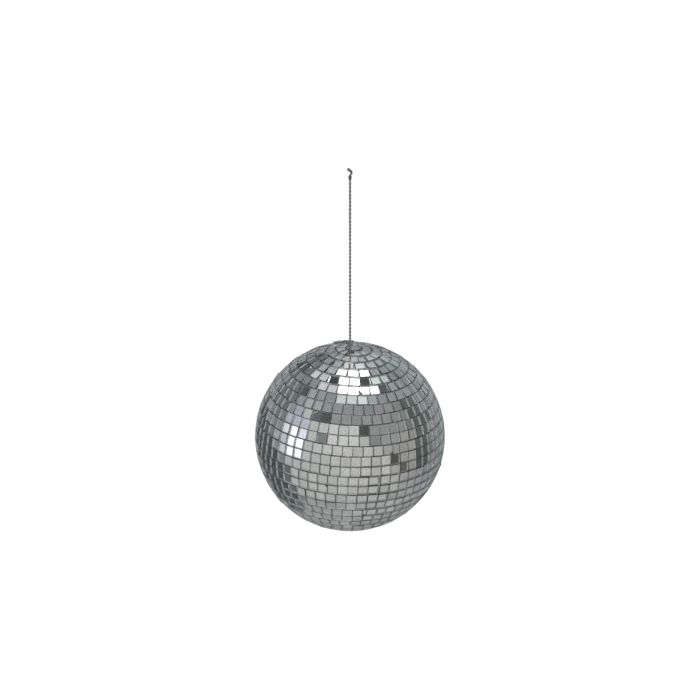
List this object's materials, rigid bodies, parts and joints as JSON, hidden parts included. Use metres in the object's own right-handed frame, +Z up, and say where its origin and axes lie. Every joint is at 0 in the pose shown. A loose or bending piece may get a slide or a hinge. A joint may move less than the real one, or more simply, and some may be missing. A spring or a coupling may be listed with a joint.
{
  "type": "mirror ball",
  "caption": "Hollow ball faced with rows of small square mirror tiles, hung from a thin twisted cord that ends in a small tied loop; it swings and spins on the cord.",
  "frame": {"origin": "inside top of the hanging loop, where a hook bears", "axes": "+Z up along the hanging cord, +X to the viewer's right, +Y away from the viewer"},
  "size_m": [0.1001, 0.1004, 0.2019],
  "materials": {
    "mirror_glass": "polished",
    "backing_cloth": "matte",
    "moulded_core": "matte",
    "eyelet_brass": "satin",
    "washer_steel": "satin",
    "cord_thread": "satin"
  },
  "bodies": {
    "loop": {"hanging_loop": "cord_thread"},
    "knot": {"loop_knot": "cord_thread"},
    "cord": {"hanging_cord": "cord_thread", "anchor_knot": "cord_thread"},
    "ball": {"anchor_washer": "washer_steel", "bottom_cap_mirror": "mirror_glass", "cloth_strip_01": "backing_cloth", "cloth_strip_02": "backing_cloth", "cloth_strip_03": "backing_cloth", "cloth_strip_04": "backing_cloth", "cloth_strip_05": "backing_cloth", "cloth_strip_06": "backing_cloth", "cloth_strip_07": "backing_cloth", "cloth_strip_08": "backing_cloth", "cloth_strip_09": "backing_cloth", "cloth_strip_10": "backing_cloth", "cloth_strip_11": "backing_cloth", "cloth_strip_12": "backing_cloth", "cloth_strip_13": "backing_cloth", "cloth_strip_14": "backing_cloth", "cloth_strip_15": "backing_cloth", "cloth_strip_16": "backing_cloth", "cloth_strip_17": "backing_cloth", "cloth_strip_18": "backing_cloth", "cloth_strip_19": "backing_cloth", "cloth_strip_20": "backing_cloth", "cloth_strip_21": "backing_cloth", "cloth_strip_22": "backing_cloth", "cloth_strip_23": "backing_cloth", "cloth_strip_24": "backing_cloth", "cord_eyelet": "eyelet_brass", "core_lower_half": "moulded_core", "core_upper_half": "moulded_core", "mirror_strip_01": "mirror_glass", "mirror_strip_02": "mirror_glass", "mirror_strip_03": "mirror_glass", "mirror_strip_04": "mirror_glass", "mirror_strip_05": "mirror_glass", "mirror_strip_06": "mirror_glass", "mirror_strip_07": "mirror_glass", "mirror_strip_08": "mirror_glass", "mirror_strip_09": "mirror_glass", "mirror_strip_10": "mirror_glass", "mirror_strip_11": "mirror_glass", "mirror_strip_12": "mirror_glass", "mirror_strip_13": "mirror_glass", "mirror_strip_14": "mirror_glass", "mirror_strip_15": "mirror_glass", "mirror_strip_16": "mirror_glass", "mirror_strip_17": "mirror_glass", "mirror_strip_18": "mirror_glass", "mirror_strip_19": "mirror_glass", "mirror_strip_20": "mirror_glass", "mirror_strip_21": "mirror_glass", "mirror_strip_22": "mirror_glass", "mirror_strip_23": "mirror_glass", "mirror_strip_24": "mirror_glass", "top_cap_mirror": "mirror_glass"}
  },
  "joints": [
    {"name": "side_swing", "type": "hinge", "parent": "loop", "child": "knot", "pos_m": [0.0011, 0, -0.004], "axis": [0, 1, 0], "range_deg": [-45, 45]},
    {"name": "fore_aft_swing", "type": "hinge", "parent": "knot", "child": "cord", "pos_m": [0.0011, 0, -0.004], "axis": [1, 0, 0], "range_deg": [-45, 45]},
    {"name": "ball_spin", "type": "hinge", "parent": "cord", "child": "ball", "pos_m": [0.0011, 0, -0.1012], "axis": [0, 0, 1], "continuous": true}
  ]
}
